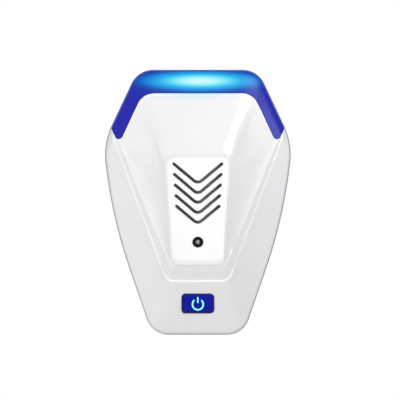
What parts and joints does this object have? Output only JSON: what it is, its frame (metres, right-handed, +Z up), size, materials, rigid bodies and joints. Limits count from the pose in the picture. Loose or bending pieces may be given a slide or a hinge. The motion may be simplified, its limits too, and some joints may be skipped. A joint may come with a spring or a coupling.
{
  "type": "ultrasonic pest repeller",
  "caption": "Plug-in ultrasonic pest repeller: shield-shaped white shell with V-shaped sound slots, blue light bar over the top, light sensor and lit push button.",
  "frame": {"origin": "point of the wall plane midway between the two plug pins", "axes": "+Z up the front, +Y into the wall along the plug pins, +X to the right seen from the front"},
  "size_m": [0.0742, 0.0534, 0.106],
  "materials": {
    "white_shell": "glossy moulded white",
    "violet_grey_shell": "satin moulded violet-grey",
    "blue_diffuser": "translucent blue, lit from inside",
    "blue_button": "glossy deep blue",
    "lit_symbol": "lit pale cyan",
    "black_plastic": "satin black",
    "grey_lens": "smoked lens",
    "bright_steel": "zinc-plated",
    "black_foam": "soft foam",
    "dark_cloth": "fine woven cloth",
    "pale_cone": "pressed paper",
    "brass_plate": "brushed brass",
    "grey_plastic": "satin dark grey",
    "green_board": "solder-masked board",
    "led_clear": "clear epoxy",
    "white_board": "white solder-masked board",
    "led_yellow": "phosphor under clear epoxy",
    "yellow_case": "box capacitor case",
    "navy_sleeve": "shrink sleeve",
    "black_sleeve": "shrink sleeve",
    "ferrite": "sintered ferrite",
    "tape_yellow": "winding tape",
    "copper_wire": "enamelled copper",
    "green_ceramic": "lacquered body",
    "blue_ceramic": "dipped epoxy",
    "tan_ceramic": "lacquered body",
    "brown_ceramic": "dipped epoxy",
    "ivory_plastic": "moulded nylon",
    "nickel": "nickel-plated",
    "brown_wire": "insulation",
    "blue_wire": "insulation",
    "red_wire": "insulation",
    "white_wire": "insulation",
    "label_film": "blank film label"
  },
  "bodies": {
    "body": {"front_cover": "white_shell", "rear_cover": "violet_grey_shell", "light_bar": "blue_diffuser", "sensor_bezel": "black_plastic", "light_sensor": "grey_lens", "sensor_legs": "bright_steel", "sensor_spacer": "black_plastic", "speaker_gasket": "black_foam", "speaker_mesh": "dark_cloth", "speaker_basket": "black_plastic", "speaker_cone": "pale_cone", "piezo_disc": "brass_plate", "speaker_magnet": "bright_steel", "speaker_terminals": "brass_plate", "speaker_retainer": "grey_plastic", "retainer_screws": "bright_steel", "main_board": "green_board", "board_screws": "bright_steel", "switch_body": "grey_plastic", "switch_cover": "bright_steel", "switch_legs": "bright_steel", "button_led": "led_clear", "light_board": "white_board", "light_leds": "led_yellow", "light_board_screws": "bright_steel", "safety_capacitor": "yellow_case", "bulk_capacitor": "navy_sleeve", "output_capacitors": "black_sleeve", "rectifier": "black_plastic", "transformer_core": "ferrite", "transformer_bobbin": "black_plastic", "transformer_winding": "tape_yellow", "choke_core": "ferrite", "choke_winding": "copper_wire", "fuse_resistor": "green_ceramic", "fuse_leads": "bright_steel", "varistor": "blue_ceramic", "controller_chip": "black_plastic", "chip_legs": "bright_steel", "transistors": "black_plastic", "resistors": "tan_ceramic", "disc_capacitors": "brown_ceramic", "speaker_socket": "ivory_plastic", "plug_insert": "ivory_plastic", "plug_pins": "nickel", "pin_sleeves": "black_plastic", "insert_screws": "bright_steel", "live_wire": "brown_wire", "neutral_wire": "blue_wire", "speaker_wires": "red_wire", "light_wires": "white_wire", "housing_screws": "bright_steel", "rating_label": "label_film"},
    "button": {"power_button": "blue_button", "button_symbol": "lit_symbol"},
    "plunger": {"switch_plunger": "black_plastic"}
  },
  "joints": [
    {"name": "button_push", "type": "slide", "parent": "body", "child": "button", "axis": [0, 1, 0], "range_m": [0, 0.0006], "stiffness_N_per_m": 2000},
    {"name": "plunger_push", "type": "slide", "parent": "body", "child": "plunger", "axis": [0, 1, 0], "range_m": [0, 0.0006]}
  ],
  "couplings": [
    {"joint": "plunger_push", "follows": "button_push", "ratio": 1}
  ]
}
